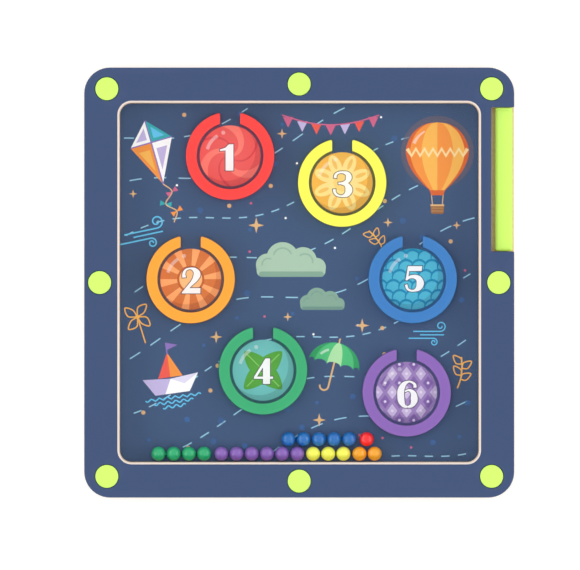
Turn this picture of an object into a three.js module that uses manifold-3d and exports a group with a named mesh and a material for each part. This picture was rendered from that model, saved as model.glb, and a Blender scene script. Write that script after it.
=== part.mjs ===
// A magnetic maze board: a flat wooden tray with a printed floor, six numbered ring walls and 21 coloured
// steel balls, shut in under a clear cover. A magnet pen that pulls the balls along lies in a slot at its edge.
// Millimetres. The board lies flat, +Z out of its face, +Y towards the mouths of the rings.
// The origin is the middle of the underside.

import * as THREE from "three";
import { mergeVertices } from "three/addons/utils/BufferGeometryUtils.js";
import Module from "manifold-3d";

const wasm = await Module();
wasm.setup();

// Play chamber
const chamberSize = 251;
const chamberCorner = 8.5;

// Frame round the chamber, its window's upper edge cut off at a slant down to the bare wood
const windowChamfer = 1.5;
const boardCorner = 18;

// Layers, from the underside up
const baseThickness = 3;
const sheetThickness = 0.4;
const coverThickness = 2;
const topThickness = 4;
const rebateWidth = 5.5;

// Clearances
const fitGap = 0.3;
const rollGap = 0.1;
const ballHeadroom = 0.8;
const cutOverrun = 1;

// Balls
const ballDiameter = 10;
const ballGap = 0.6;
const wallGap = 1;
const rowGap = 0.2;
const lowerRowMiddleShare = -0.1817;
const upperRowMiddleShare = 0.1578;

// Ring walls
const ringGap = 17.64;
const ringWall = 7.5;
const ringMouth = 14;

// Pen and its slot
const penWidth = 12;
const penEdgeRound = 2.3;
const penEndRound = 2;
const penWall = 1.6;
const penInset = 1.2;
const penSideGap = 2.8;
const tipThickness = 2;
const spigotLength = 6;
const spigotWall = 0.8;
const magnetLength = 5;
const slotWall = 7;
const slotFromCornerCap = 4.6;
const slotFromSideCap = 13.4;

// Caps and the screws that they hide
const capDiameter = 16;
const capHeight = 2.6;
const capSkin = 0.7;
const capEdge = 0.4;
const capBore = 9;
const capSeatDepth = 2.2;
const cornerCapSideInset = 15.8;
const cornerCapEndInset = 14.8;
const sideCapInset = 10.8;
const endCapInset = 11.5;
const screwDiameter = 3;
const screwLength = 14;
const screwPoint = 3;
const headDiameter = 7;
const headHeight = 1.6;

// Facets
const cornerSteps = 4;
const ringSteps = 20;
const capSides = 24;
const penSides = 24;
const penEndSteps = 3;
const screwSides = 12;
const ballSides = 14;
const ballBands = 8;

// Sizes that follow
const slotDepth = penInset + penWidth + penSideGap;
const railWidth = slotDepth + slotWall;
const windowSize = chamberSize + 2 * windowChamfer;
const windowCorner = chamberCorner + windowChamfer;
const boardSize = windowSize + 2 * railWidth;
const chamberHalf = chamberSize / 2;
const boardHalf = boardSize / 2;
const rebateSize = chamberSize + 2 * rebateWidth;
const rebateCorner = chamberCorner + rebateWidth;
const ballRadius = ballDiameter / 2;
const sheetTop = baseThickness + sheetThickness;
const coverBottom = sheetTop + ballDiameter + ballHeadroom;
const coverTop = coverBottom + coverThickness;
const topFace = coverTop + topThickness;
const capSeat = topFace - capSeatDepth;
const capSeatRadius = capDiameter / 2 + fitGap;
const slotTopEdge = boardHalf - cornerCapEndInset - capSeatRadius - slotFromCornerCap;
const slotLength = slotTopEdge - capSeatRadius - slotFromSideCap;
const penLength = slotLength - 2 * fitGap;

const finishes = {
  navyPaint: { color: 0x495b7f, roughness: 0.55, metalness: 0 },
  wood: { color: 0xe2c9a4, roughness: 0.75, metalness: 0 },
  print: { color: 0x485a7a, roughness: 0.5, metalness: 0 },
  acrylic: { color: 0xffffff, roughness: 0.08, metalness: 0, transparent: true, opacity: 0.12 },
  limePlastic: { color: 0xdbff79, roughness: 0.45, metalness: 0 },
  steel: { color: 0x9a9ca0, roughness: 0.35, metalness: 1 },
  red: { color: 0xff524f, roughness: 0.5, metalness: 0 },
  orange: { color: 0xffb448, roughness: 0.5, metalness: 0 },
  yellow: { color: 0xffff68, roughness: 0.5, metalness: 0 },
  green: { color: 0x49b67e, roughness: 0.5, metalness: 0 },
  blue: { color: 0x4a87cb, roughness: 0.5, metalness: 0 },
  purple: { color: 0x9570bf, roughness: 0.5, metalness: 0 },
};

const ringTable = [
  { colour: "red", placeShares: [-0.3845, 0.7052] },
  { colour: "orange", placeShares: [-0.6036, 0.0189] },
  { colour: "yellow", placeShares: [0.239, 0.5558] },
  { colour: "green", placeShares: [-0.2012, -0.488] },
  { colour: "blue", placeShares: [0.6315, 0.0199] },
  { colour: "purple", placeShares: [0.5976, -0.6106] },
];

const ringPlaces = ringTable.map(({ placeShares }) => placeShares.map((share) => share * chamberHalf));

// The two closest rings leave the ring gap between them
const ringSpacings = ringPlaces.flatMap(([x, y], index) =>
  ringPlaces.slice(index + 1).map(([otherX, otherY]) => Math.hypot(x - otherX, y - otherY)));
const ringRadius = (Math.min(...ringSpacings) - ringGap) / 2;

// A group's space is the extra room before its first ball, as a share of the ball's diameter
const lowerRowGroups = [
  { colour: "green", count: 4, spaceShare: 0 },
  { colour: "purple", count: 6, spaceShare: 0.15 },
  { colour: "yellow", count: 3, spaceShare: 0.04 },
  { colour: "orange", count: 2, spaceShare: 0.06 },
];
const upperRowGroups = [
  { colour: "blue", count: 5, spaceShare: 0 },
  { colour: "red", count: 1, spaceShare: 0.16 },
];

const cornerCapX = boardHalf - cornerCapSideInset;
const cornerCapY = boardHalf - cornerCapEndInset;
const capPlaces = {
  top_left: [-cornerCapX, cornerCapY],
  top: [0, boardHalf - endCapInset],
  top_right: [cornerCapX, cornerCapY],
  left: [sideCapInset - boardHalf, 0],
  right: [boardHalf - sideCapInset, 0],
  bottom_left: [-cornerCapX, -cornerCapY],
  bottom: [0, endCapInset - boardHalf],
  bottom_right: [cornerCapX, -cornerCapY],
};

const board = new THREE.Group();

function place(name, geometry, finish, position = [0, 0, 0]) {
  const mesh = new THREE.Mesh(geometry, new THREE.MeshStandardMaterial(finishes[finish]));
  mesh.name = name;
  mesh.position.set(...position);
  board.add(mesh);
}

// Joining and cutting

function solidOf(geometry) {
  const bare = geometry.clone();
  bare.deleteAttribute("normal");
  bare.deleteAttribute("uv");
  const merged = mergeVertices(bare);
  const vertProperties = new Float32Array(merged.attributes.position.array);
  const triVerts = new Uint32Array(merged.index.array);
  return new wasm.Manifold(new wasm.Mesh({ numProp: 3, vertProperties, triVerts }));
}

function geometryOf(solid) {
  const { vertProperties, triVerts } = solid.getMesh();
  const geometry = new THREE.BufferGeometry();
  geometry.setAttribute("position", new THREE.BufferAttribute(new Float32Array(vertProperties), 3));
  geometry.setIndex(new THREE.BufferAttribute(new Uint32Array(triVerts), 1));
  geometry.computeVertexNormals();
  return geometry;
}

function cut(geometry, cutters) {
  let solid = solidOf(geometry);
  for (const cutter of cutters) solid = solid.subtract(solidOf(cutter));
  return geometryOf(solid);
}

// Outlines and slabs

function roundedSquare(path, size, corner) {
  const arm = size / 2 - corner;
  path.absarc(arm, arm, corner, 0, Math.PI / 2, false);
  path.absarc(-arm, arm, corner, Math.PI / 2, Math.PI, false);
  path.absarc(-arm, -arm, corner, Math.PI, 1.5 * Math.PI, false);
  path.absarc(arm, -arm, corner, 1.5 * Math.PI, 2 * Math.PI, false);
  path.closePath();
  return path;
}

function slab(size, corner, bottom, top, opening = null) {
  const shape = roundedSquare(new THREE.Shape(), size, corner);
  if (opening) shape.holes.push(roundedSquare(new THREE.Path(), opening.size, opening.corner));
  const settings = { depth: top - bottom, bevelEnabled: false, curveSegments: cornerSteps };
  return new THREE.ExtrudeGeometry(shape, settings).translate(0, 0, bottom);
}

function drill(at, radius, bottom, top, sides) {
  const cylinder = new THREE.CylinderGeometry(radius, radius, top - bottom, sides);
  return cylinder.rotateX(Math.PI / 2).translate(...at, (bottom + top) / 2);
}

function slotCutter(bottom) {
  const width = slotDepth + cutOverrun;
  const height = topFace + cutOverrun - bottom;
  const box = new THREE.BoxGeometry(width, slotLength, height);
  const middle = [boardHalf - slotDepth + width / 2, slotTopEdge - slotLength / 2, bottom + height / 2];
  return box.translate(...middle);
}

function turned(points, sides) {
  const profile = points.map(([radius, height]) => new THREE.Vector2(radius, height));
  return new THREE.LatheGeometry(profile, sides).rotateX(Math.PI / 2);
}

// Layers of the board

const capSeatCutters = Object.values(capPlaces).map((at) =>
  drill(at, capSeatRadius, capSeat, topFace + cutOverrun, capSides));

function screwHoles(bottom, top) {
  const radius = screwDiameter / 2 + fitGap;
  return Object.values(capPlaces).map((at) => drill(at, radius, bottom, top, screwSides));
}

function baseBoard() {
  place("base_board", slab(boardSize, boardCorner, 0, baseThickness), "wood");
}

function playSheet() {
  const size = chamberSize - 2 * fitGap;
  place("play_sheet", slab(size, chamberCorner - fitGap, baseThickness, sheetTop), "print");
}

function spacerFrame() {
  const opening = { size: chamberSize, corner: chamberCorner };
  const frame = slab(boardSize, boardCorner, baseThickness, coverTop, opening);
  const rebate = slab(rebateSize, rebateCorner, coverBottom, coverTop + cutOverrun);
  const holes = screwHoles(baseThickness - cutOverrun, coverTop + cutOverrun);
  place("spacer_frame", cut(frame, [rebate, slotCutter(baseThickness - cutOverrun), ...holes]), "wood");
}

function clearCover() {
  const size = rebateSize - 2 * fitGap;
  place("clear_cover", slab(size, rebateCorner - fitGap, coverBottom, coverTop), "acrylic");
}

// A square plug whose lower edge slants in to the chamber's outline
function chamferCutter() {
  const shape = roundedSquare(new THREE.Shape(), windowSize, windowCorner);
  const settings = {
    depth: cutOverrun,
    bevelThickness: windowChamfer,
    bevelSize: windowChamfer,
    bevelOffset: -windowChamfer,
    bevelSegments: 1,
    curveSegments: cornerSteps,
  };
  return new THREE.ExtrudeGeometry(shape, settings).translate(0, 0, topFace);
}

function topFrame() {
  const opening = { size: chamberSize, corner: chamberCorner };
  const frame = slab(boardSize, boardCorner, coverTop, topFace, opening);
  const holes = screwHoles(coverTop - cutOverrun, topFace);
  const cutters = [chamferCutter(), slotCutter(coverTop - cutOverrun), ...capSeatCutters, ...holes];
  place("top_frame", cut(frame, cutters), "navyPaint");
}

// Ring walls, each open towards +Y by a mouth with upright ends

function ringWalls() {
  const inner = ringRadius - ringWall;
  const outerHalfAngle = Math.asin(ringMouth / 2 / ringRadius);
  const innerHalfAngle = Math.asin(ringMouth / 2 / inner);
  const shape = new THREE.Shape();
  shape.absarc(0, 0, ringRadius, Math.PI / 2 + outerHalfAngle, 2.5 * Math.PI - outerHalfAngle, false);
  shape.absarc(0, 0, inner, 2.5 * Math.PI - innerHalfAngle, Math.PI / 2 + innerHalfAngle, true);
  shape.closePath();
  const depth = coverBottom - fitGap - sheetTop;
  const wall = new THREE.ExtrudeGeometry(shape, { depth, bevelEnabled: false, curveSegments: ringSteps });
  ringTable.forEach(({ colour }, index) => {
    place(`ring_${index + 1}_${colour}`, wall, colour, [...ringPlaces[index], sheetTop]);
  });
}

// Balls, lying in two rows against the lower wall

function ballRow(groups, middleShare, height) {
  const ball = new THREE.SphereGeometry(ballRadius, ballSides, ballBands).rotateX(Math.PI / 2);
  const spaces = groups.reduce((sum, { spaceShare }) => sum + spaceShare * ballDiameter, 0);
  const count = groups.reduce((sum, group) => sum + group.count, 0);
  let x = middleShare * chamberHalf - (spaces + (count - 1) * (ballDiameter + ballGap)) / 2;
  for (const { colour, count, spaceShare } of groups) {
    x += spaceShare * ballDiameter;
    for (let number = 1; number <= count; number += 1) {
      place(`ball_${colour}_${number}`, ball, colour, [x, height, sheetTop + rollGap + ballRadius]);
      x += ballDiameter + ballGap;
    }
  }
}

function balls() {
  const lowerRow = -chamberHalf + wallGap + ballRadius;
  ballRow(lowerRowGroups, lowerRowMiddleShare, lowerRow);
  ballRow(upperRowGroups, upperRowMiddleShare, lowerRow + ballDiameter + rowGap);
}

// Magnet pen: a square bar with rounded edges, hollow and closed at its lower end, with a tip that holds the
// magnet in its spigot. Each piece is made standing up and then laid along Y.

function laid(geometry) {
  return geometry.rotateX(-Math.PI / 2);
}

function pen() {
  const half = penWidth / 2;
  const bore = half - penWall;
  const barrelLength = penLength - tipThickness;
  const end = slotTopEdge - fitGap - penLength;
  const position = [boardHalf - penInset - half, end, baseThickness + rollGap + half];
  const settings = {
    depth: barrelLength - penEndRound,
    bevelThickness: penEndRound,
    bevelSize: penEndRound,
    bevelOffset: -penEndRound,
    bevelSegments: penEndSteps,
    curveSegments: cornerSteps,
  };
  const outline = roundedSquare(new THREE.Shape(), penWidth, penEdgeRound);
  const bar = new THREE.ExtrudeGeometry(outline, settings).translate(0, 0, penEndRound);
  const trimLength = penEndRound + cutOverrun;
  const trim = new THREE.BoxGeometry(2 * penWidth, 2 * penWidth, trimLength);
  trim.translate(0, 0, barrelLength + trimLength / 2);
  const hollow = drill([0, 0], bore, penWall, barrelLength + cutOverrun, penSides);
  place("pen_barrel", laid(cut(bar, [trim, hollow])), "limePlastic", position);

  const spigotRadius = bore - fitGap;
  const pocketRadius = spigotRadius - spigotWall;
  const block = slab(penWidth, penEdgeRound, -spigotLength, tipThickness);
  const spigot = drill([0, 0], spigotRadius, -spigotLength - cutOverrun, 0, penSides);
  const sleeve = new THREE.BoxGeometry(2 * penWidth, 2 * penWidth, spigotLength + cutOverrun);
  sleeve.translate(0, 0, -(spigotLength + cutOverrun) / 2);
  const pocket = drill([0, 0], pocketRadius, -spigotLength - cutOverrun, 0, penSides);
  const seat = [position[0], end + barrelLength, position[2]];
  place("pen_tip", laid(cut(block, [cut(sleeve, [spigot]), pocket])), "limePlastic", seat);

  const magnetRadius = pocketRadius - fitGap;
  const magnet = drill([0, 0], magnetRadius, -magnetLength, 0, penSides);
  place("pen_magnet", laid(magnet), "steel", seat);
}

// Screws, and the hollow caps pressed in over their heads

function capsAndScrews() {
  const capRadius = capDiameter / 2;
  const boreRadius = capBore / 2;
  const cap = [
    [0, capHeight - capSkin],
    [boreRadius, capHeight - capSkin],
    [boreRadius, 0],
    [capRadius, 0],
    [capRadius, capHeight - capEdge],
    [capRadius - capEdge, capHeight],
    [0, capHeight],
  ];
  const shankRadius = screwDiameter / 2;
  const headRadius = headDiameter / 2;
  const headEdge = headHeight / 2;
  const screw = [
    [0, -screwLength],
    [shankRadius, screwPoint - screwLength],
    [shankRadius, 0],
    [headRadius, 0],
    [headRadius, headEdge],
    [headRadius - headEdge, headHeight],
    [0, headHeight],
  ];
  const capGeometry = turned(cap, capSides);
  const screwGeometry = turned(screw, screwSides);
  for (const [where, at] of Object.entries(capPlaces)) {
    place(`cap_${where}`, capGeometry, "limePlastic", [...at, capSeat]);
    place(`screw_${where}`, screwGeometry, "steel", [...at, capSeat]);
  }
}

baseBoard();
playSheet();
spacerFrame();
clearCover();
topFrame();
ringWalls();
balls();
pen();
capsAndScrews();

export default board;
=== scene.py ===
"""A magnetic maze board: painted wood, a printed floor, numbered rings, steel balls and a magnet pen.

Lengths are millimetres in the frame's own axes, and become metres when a mesh is made.
Colours are written as they look, from 0 to 255, and become linear light in light_of().
"""

import math

import bmesh
import bpy
import numpy as np
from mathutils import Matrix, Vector
from mathutils.geometry import delaunay_2d_cdt


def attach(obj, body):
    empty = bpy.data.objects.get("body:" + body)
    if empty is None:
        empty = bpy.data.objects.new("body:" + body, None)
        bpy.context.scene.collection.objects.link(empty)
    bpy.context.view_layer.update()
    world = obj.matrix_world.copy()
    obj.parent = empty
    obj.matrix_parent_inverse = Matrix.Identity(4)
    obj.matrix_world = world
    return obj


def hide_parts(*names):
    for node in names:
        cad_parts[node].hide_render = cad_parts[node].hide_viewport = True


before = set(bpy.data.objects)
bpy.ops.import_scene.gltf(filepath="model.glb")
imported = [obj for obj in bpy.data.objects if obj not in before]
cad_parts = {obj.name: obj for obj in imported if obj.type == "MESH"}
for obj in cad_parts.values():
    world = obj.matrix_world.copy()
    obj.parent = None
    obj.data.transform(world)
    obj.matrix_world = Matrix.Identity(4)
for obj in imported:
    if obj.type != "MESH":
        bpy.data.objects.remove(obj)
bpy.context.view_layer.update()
scene = bpy.context.scene

MM = 0.001
MERGE_GAP = 1e-6
SHARP_EDGE = math.radians(32)

# The board's layers, from the underside up
BOARD = 300.0
BOARD_CORNER = 18.0
CHAMBER = 251.0
CHAMBER_CORNER = 8.5
CHAMFER = 1.4
REBATE = 5.5
BASE_TOP = 3.0
SHEET_TOP = 3.4
COVER_BOTTOM = 14.2
COVER_TOP = 16.2
TOP_FACE = 20.2
FIT = 0.3

# Eased edges, and the slant round the window as rows of (inset, depth below the top face)
SANDED = 0.15
ROUTED = 0.7
REBATE_EASE = 0.25
PANE_EASE = 0.2
PANE_PLAY = 0.05
SLANT = [(CHAMFER + 0.05, 0.0), (CHAMFER - 0.05, 0.08), (0.05, CHAMFER - 0.02), (0.0, CHAMFER + 0.08)]

# The pen's slot, open at the right edge
SLOT_LEFT = 134.0
SLOT_BOTTOM = 21.7
SLOT_TOP = 122.3
SLOT_CORNER = 0.8

# Ring walls; the jaws' arcs take JAW_TURN degrees of the ring
RING_OUTER = 30.8
RING_INNER = 23.3
RING_TOP = 13.9
MOUTH = 14.0
RING_EASE = 0.4
JAW_TURN = 4.0
JAW_OUTER = 1.0
JAW_INNER = 0.8
JAW_STEPS = 8
RINGS = {
    "ring_1_red": (-48.25, 88.5),
    "ring_2_orange": (-75.75, 2.375),
    "ring_3_yellow": (30.0, 69.75),
    "ring_4_green": (-25.25, -61.25),
    "ring_5_blue": (79.25, 2.5),
    "ring_6_purple": (75.0, -76.625),
}

# Balls: how many of each colour, and the place of the first
BALL_RADIUS = 5.0
BALL_PITCH = 10.6
BALL_MIDDLE = 8.5
LOWER_ROW = -119.5
UPPER_ROW = -109.3
BALLS = {
    "green": (4, -98.25, LOWER_ROW),
    "purple": (6, -54.35, LOWER_ROW),
    "yellow": (3, 9.65, LOWER_ROW),
    "orange": (2, 42.05, LOWER_ROW),
    "blue": (5, -7.5, UPPER_ROW),
    "red": (1, 47.1, UPPER_ROW),
}

# Pen, a square bar along Y, and the edge of its high end as rows of (inset, depth)
PEN_AXIS = (142.8, 9.1)
PEN_WIDTH = 12.0
PEN_EDGE_ROUND = 2.3
PEN_BORE = 4.4
PEN_WALL = 1.6
PEN_END_ROUND = 2.0
PEN_LOW = 22.0
TIP_SEAT = 120.0
PEN_HIGH = 122.0
SPIGOT = 4.1
POCKET = 3.3
SPIGOT_LENGTH = 6.0
PEN_SEAM = 0.15
PEN_CROWN = [(0.0, 0.3), (0.1, 0.1), (0.3, 0.0)]

# Caps, with a screw under each, and the seat's edge in rows like the slant's
CAP_SEAT = 18.0
CAP_TOP = 20.6
CAP_RADIUS = 8.0
CAP_BORE = 4.5
CAP_SKIN = 0.7
CAP_ROUND = 0.45
CAP_FOOT = 0.3
SEAT_RADIUS = 8.45
SEAT_EDGE = [(0.22, 0.0), (0.06, 0.08), (0.0, 0.25)]
HOLE_RADIUS = 1.8
CAPS = {
    "top_left": (-134.2, 135.2),
    "top": (0.0, 138.5),
    "top_right": (134.2, 135.2),
    "left": (-139.2, 0.0),
    "right": (139.2, 0.0),
    "bottom_left": (-134.2, -135.2),
    "bottom": (0.0, -138.5),
    "bottom_right": (134.2, -135.2),
}


# Plane shapes

def unit(vectors):
    """Each vector divided by its length."""
    return vectors / np.linalg.norm(vectors, axis=-1, keepdims=True)


def left_of(directions):
    """Each direction turned a quarter to the left: (x, y) becomes (-y, x)."""
    return np.stack([-directions[..., 1], directions[..., 0]], axis=-1)


def arc(centre, radius, start, end, count):
    """Points on a circle, or on an ellipse for a pair of radii, evenly from one angle to the other."""
    turn = np.radians(np.linspace(start, end, count))[:, None]
    return centre + np.hstack([np.cos(turn), np.sin(turn)]) * radius


def disc(centre, radius, count=48):
    """A whole circle or ellipse, with no point twice."""
    return arc(centre, radius, 0, 360, count + 1)[:-1]


def rounded(corners, radius, steps=8):
    """A closed loop with an arc at each corner.

    The arc's centre lies on the corner's bisector at radius / sin(half the angle), and its points come
    from turning the direction to one touching point evenly into the direction to the other.
    """
    corners = np.asarray(corners, float)
    radius = np.broadcast_to(radius, len(corners))[:, None]
    back = unit(np.roll(corners, 1, axis=0) - corners)
    on = unit(np.roll(corners, -1, axis=0) - corners)
    half = np.arccos(np.clip((back * on).sum(axis=1, keepdims=True), -1, 1)) / 2
    centre = corners + unit(back + on) * radius / np.sin(half)
    first = corners + back * radius / np.tan(half) - centre
    last = corners + on * radius / np.tan(half) - centre
    swing = (math.pi - 2 * half)[:, None]
    share = np.linspace(0, 1, steps)[None, :, None]
    swept = np.sin((1 - share) * swing) * first[:, None] + np.sin(share * swing) * last[:, None]
    return (centre[:, None] + swept / np.sin(swing)).reshape(-1, 2)


def square(size, corner, steps=10):
    """A rounded square about the middle, anticlockwise."""
    half = size / 2
    return rounded([(-half, -half), (half, -half), (half, half), (-half, half)], corner, steps)


def moved_in(loop, distance):
    """Each point moved left by the sum of its two edge normals over 1 plus their dot product."""
    ahead = left_of(unit(np.roll(loop, -1, axis=0) - loop))
    behind = np.roll(ahead, 1, axis=0)
    return loop + distance * (ahead + behind) / (1 + (ahead * behind).sum(axis=1, keepdims=True))


def curve(points, steps=8, closed=False):
    """A smooth path of cubics, whose slope at a point is half the step between its two neighbours."""
    points = np.asarray(points, float)
    if closed:
        ends = points[-1:], points[:2]
    else:
        ends = 2 * points[:1] - points[1:2], 2 * points[-1:] - points[-2:-1]
    padded = np.concatenate([ends[0], points, ends[1]])
    before, first, second, after = padded[:-3], padded[1:-2], padded[2:-1], padded[3:]
    along = (np.arange(steps) / steps)[:, None, None]
    bend = 2 * before - 5 * first + 4 * second - after
    twist = 3 * (first - second) + after - before
    path = first + 0.5 * along * (second - before + along * (bend + along * twist))
    path = path.transpose(1, 0, 2).reshape(-1, points.shape[1])
    return path if closed else np.concatenate([path, points[-1:]])


def ribbon(path, grow=0.0):
    """A stroke's outline: each (x, y, width) row moved to both sides by half its width and grow."""
    path = np.asarray(path, float)
    along = unit(np.gradient(path[:, :2], axis=0))
    middle = path[:, :2].copy()
    middle[0] -= along[0] * grow
    middle[-1] += along[-1] * grow
    side = left_of(along) * (path[:, 2:] / 2 + grow)
    return np.concatenate([middle - side, (middle + side)[::-1]])


def stroke(path, width):
    """The outline of a stroke along a path, with one width or one for each point."""
    return ribbon(np.column_stack([path, np.broadcast_to(width, len(path))]))


def line(points, width, steps=8):
    """The outline of a smooth stroke of one width."""
    return stroke(curve(points, steps), width)


# Bodies: points, the quads of the walls and the triangles of the flat faces

def loft(index):
    """The quads between neighbouring rows of a grid of point numbers, closed round each row."""
    turned = np.roll(index, -1, axis=1)
    return np.stack([index[:-1], index[1:], turned[1:], turned[:-1]], axis=-1).reshape(-1, 4)


# Kinds of triangulation, and the gap within which points merge
WHOLE = 1
ROUND_HOLES = 2
CUT_GAP = 1e-5


def filled(loops, holes):
    """Triangles over the first loop's inside; with holes, the insides of the other loops are left out."""
    ends = np.cumsum([len(loop) for loop in loops])
    spans = [np.arange(end - len(loop), end) for loop, end in zip(loops, ends)]
    edges = np.concatenate([np.column_stack([span, np.roll(span, -1)]) for span in spans]).tolist()
    areas, kind = ([spans[0].tolist()], ROUND_HOLES) if holes else ([], WHOLE)
    made = delaunay_2d_cdt(np.concatenate(loops).tolist(), edges, areas, kind, CUT_GAP)
    return np.array([tuple(point) for point in made[0]]), np.array(made[2])


def at_height(points, height):
    """Plane points as points in space at one height."""
    return np.column_stack([points, np.full(len(points), height)])


def plate(rims, cuts=()):
    """A flat body between rims.

    A rim is a closed loop with the body on its left, and a profile of (inset, height) rows from the top
    down: row k of its wall is the loop moved in by inset k, at height k. The top and the bottom face fill
    the area between the first and between the last rows. The top is cut along further loops too.
    """
    points, quads, triangles, start = [], [], [], 0
    for loop, profile in rims:
        points += [at_height(moved_in(loop, inset), height) for inset, height in profile]
        index = start + np.arange(len(profile) * len(loop)).reshape(len(profile), len(loop))
        quads.append(loft(index))
        start += index.size
    for row, flip, extra in ((0, 1, list(cuts)), (-1, -1, [])):
        loops = [moved_in(loop, profile[row][0]) for loop, profile in rims]
        flat, corners = filled(loops + extra, not extra)
        points.append(at_height(flat, rims[0][1][row][1]))
        triangles.append(corners[:, ::flip] + start)
        start += len(flat)
    return np.concatenate(points), np.concatenate(quads), np.concatenate(triangles)


def eased(top, bottom, easing, lower=True, steps=5):
    """A rim's profile, with a quarter circle at its upper edge and, if wanted, at its lower one."""
    turn = np.linspace(0, math.pi / 2, steps)
    upper = np.column_stack([easing * (1 - np.sin(turn)), top - easing * (1 - np.cos(turn))])
    under = upper[::-1] * (1, -1) + (0, top + bottom) if lower else [(0.0, bottom)]
    return np.concatenate([upper, under]).tolist()


def stacked(rows):
    """A body through rows of (loop, height), each loop with the same number of points."""
    points = np.concatenate([at_height(loop, height) for loop, height in rows])
    index = np.arange(len(points)).reshape(len(rows), -1)
    return points, loft(index), np.zeros((0, 3), int)


def spun(profile, centre, count):
    """A turned body: each (radius, height) row of the profile is a circle about the centre."""
    circle = disc((0, 0), 1.0, count)
    points, quads, triangles = stacked([(circle * radius, height) for radius, height in profile])
    return points + centre, quads, triangles


def placed(name, data):
    """A new object in the scene."""
    made = bpy.data.objects.new(name, data)
    scene.collection.objects.link(made)
    return made


def piece(name, shape, finish, node, body="board", inks=None):
    """Makes a mesh that stands for a CAD node and rides on a body."""
    points, quads, triangles = shape
    mesh = bpy.data.meshes.new(name)
    mesh.from_pydata((points * MM).tolist(), [], quads.tolist() + triangles.tolist())
    if inks is not None:
        corners = np.repeat(inks, [4] * len(quads) + [3] * len(triangles), axis=0)
        mesh.color_attributes.new("ink", "FLOAT_COLOR", "CORNER").data.foreach_set("color", corners.ravel())
    shell = bmesh.new()
    shell.from_mesh(mesh)
    bmesh.ops.remove_doubles(shell, verts=shell.verts, dist=MERGE_GAP)
    bmesh.ops.recalc_face_normals(shell, faces=shell.faces)
    shell.to_mesh(mesh)
    shell.free()
    mesh.shade_smooth()
    mesh.set_sharp_from_angle(angle=SHARP_EDGE)
    mesh.materials.append(finish)
    made = placed(name, mesh)
    if len(triangles):
        made.modifiers.new("level", "WEIGHTED_NORMAL").keep_sharp = True
    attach(made, body)
    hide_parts(node)
    return made


# Finishes

GLOSS = 0.031
INK_GLOSS = 0.022
# INK_LEVEL lifts every printed colour a little: painted light against the shade inside the chamber
INK_LEVEL = 1.04
PLY = 1.65
EDGE_LIGHT = (248, 233, 220)
EDGE_DARK = (222, 194, 156)
COAT_DEPTH = 0.12
TONE_GRAIN = 34.0
SHEEN_GRAIN = 9.0
PEEL_GRAIN = 1.3


def light_of(colour):
    """A colour as it looks, 0 to 255, as linear light."""
    share = np.asarray(colour, float) / 255
    return np.where(share <= 0.04045, share / 12.92, ((share + 0.055) / 1.055) ** 2.4)


def rgba(colour, level=1.0, gloss=0.0):
    """A colour for a socket: linear light, less the white that the gloss adds to it, times a level."""
    return (*np.clip((light_of(colour) - gloss) * level, 0, 1).tolist(), 1.0)


def maths(operation, flipped=False):
    """A method that joins its wires and numbers by a Math node, in reverse if flipped."""
    def join(*values):
        inputs = dict(enumerate(values[::-1] if flipped else values))
        return values[0].finish.node("ShaderNodeMath", inputs, operation=operation)
    return join


class Wire:
    """An output socket, with which sums, products and comparisons can be written."""

    __add__ = __radd__ = maths("ADD")
    __sub__ = maths("SUBTRACT")
    __rsub__ = maths("SUBTRACT", flipped=True)
    __mul__ = __rmul__ = maths("MULTIPLY")
    __pow__ = maths("POWER")
    __mod__ = maths("FLOORED_MODULO")
    __abs__ = maths("ABSOLUTE")
    __gt__ = maths("GREATER_THAN")
    __lt__ = maths("LESS_THAN")

    def __init__(self, finish, socket):
        self.finish = finish
        self.socket = socket


class Finish:
    """A material under one Principled shader."""

    def __init__(self, name):
        self.material = bpy.data.materials.new(name)
        self.material.use_nodes = True
        self.tree = self.material.node_tree
        self.tree.nodes.clear()
        self.shader = self.node("ShaderNodeBsdfPrincipled")
        self.node("ShaderNodeOutputMaterial", {"Surface": self.shader}, None)

    def feed(self, node, values):
        """Gives a node's sockets their wires or plain values."""
        for key, value in values.items():
            if isinstance(value, Wire):
                self.tree.links.new(value.socket, node.inputs[key])
            else:
                node.inputs[key].default_value = value

    def node(self, kind, values=(), output=0, **settings):
        """Adds a node of any kind, sets it up, feeds its sockets and returns one of its outputs."""
        made = self.tree.nodes.new(kind)
        for key, value in settings.items():
            setattr(made, key, value)
        self.feed(made, dict(values))
        return None if output is None else Wire(self, made.outputs[output])

    def set(self, values):
        """Feeds the shader, and gives the finished material."""
        self.feed(self.shader.socket.node, values)
        return self.material

    def here(self):
        """The surface point, in the frame's metres."""
        return self.node("ShaderNodeTexCoord", output="Object")

    def normal(self):
        """The surface's own direction."""
        return self.node("ShaderNodeNewGeometry", output="Normal")

    def part(self, vector, name):
        """One coordinate of a vector."""
        return self.node("ShaderNodeSeparateXYZ", {0: vector}, name)

    def noise(self, grain, detail=2.0, stretch=(1, 1, 1)):
        """Noise from 0 to 1, its features about a grain across in millimetres, stretched along the axes."""
        vector = self.node("ShaderNodeMapping", {"Vector": self.here(), "Scale": stretch})
        values = {"Vector": vector, "Scale": 1 / (grain * MM), "Detail": detail}
        return self.node("ShaderNodeTexNoise", values)

    def mix(self, share, first, second, blend="MIX"):
        """Two colours mixed by a share."""
        values = {0: share, 6: first, 7: second}
        return self.node("ShaderNodeMix", values, 2, data_type="RGBA", blend_type=blend)

    def bump(self, height, depth):
        """A normal from a height of 0 to 1 that stands for a depth in millimetres."""
        return self.node("ShaderNodeBump", {"Height": height, "Distance": depth * MM})

    def sheen(self, middle, spread=0.08):
        """A roughness that wavers about a middle value."""
        return middle - spread / 2 + spread * self.noise(SHEEN_GRAIN, 3.0)

    def peel(self, depth, grain=PEEL_GRAIN):
        """A normal from the fine unevenness of a coat."""
        return self.bump(self.noise(grain), depth)


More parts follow.
